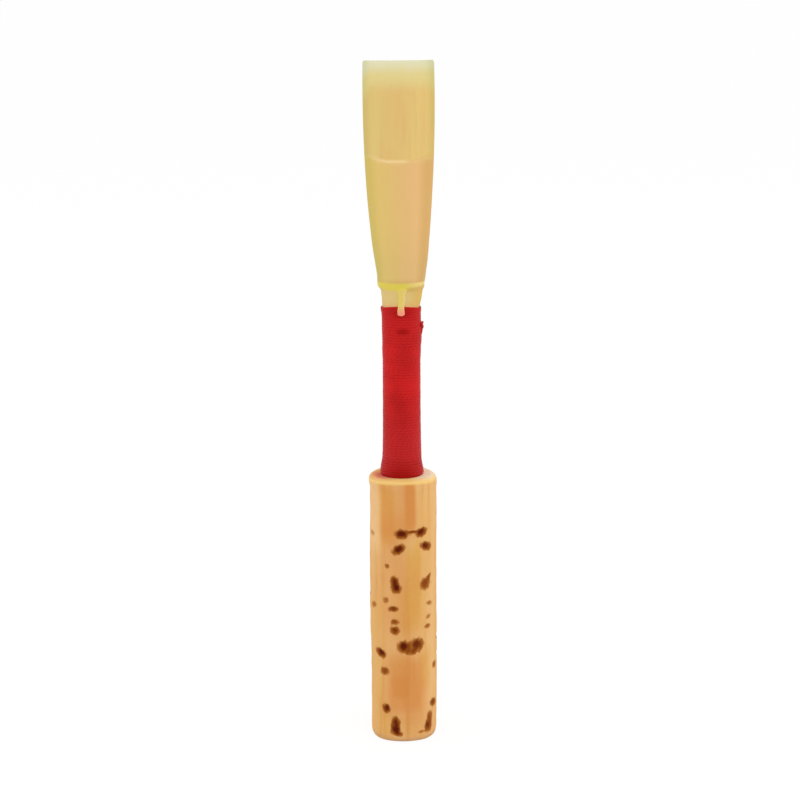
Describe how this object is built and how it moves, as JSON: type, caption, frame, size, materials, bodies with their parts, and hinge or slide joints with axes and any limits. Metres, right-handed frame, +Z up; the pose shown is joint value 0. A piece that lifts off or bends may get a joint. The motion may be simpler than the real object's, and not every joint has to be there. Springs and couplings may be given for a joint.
{
  "type": "oboe reed",
  "caption": "Double reed: two scraped cane blades bound with red thread to a tapered metal tube whose lower half carries a cork sleeve.",
  "frame": {"origin": "on the reed's axis, in the plane of the foot of the cork and the staple", "axes": "+Z up the reed from the foot to the tip, +X across the width of the blades, +Y from the front blade to the back blade"},
  "size_m": [0.007, 0.007, 0.07],
  "materials": {
    "staple_metal": "satin",
    "cork": "matte",
    "cane": "satin",
    "thread": "matte"
  },
  "bodies": {
    "root": {"staple_tube": "staple_metal", "cork_sleeve": "cork", "front_blade": "cane", "back_blade": "cane", "thread_under_layer": "thread", "thread_winding": "thread", "thread_knot": "thread"}
  },
  "joints": []
}
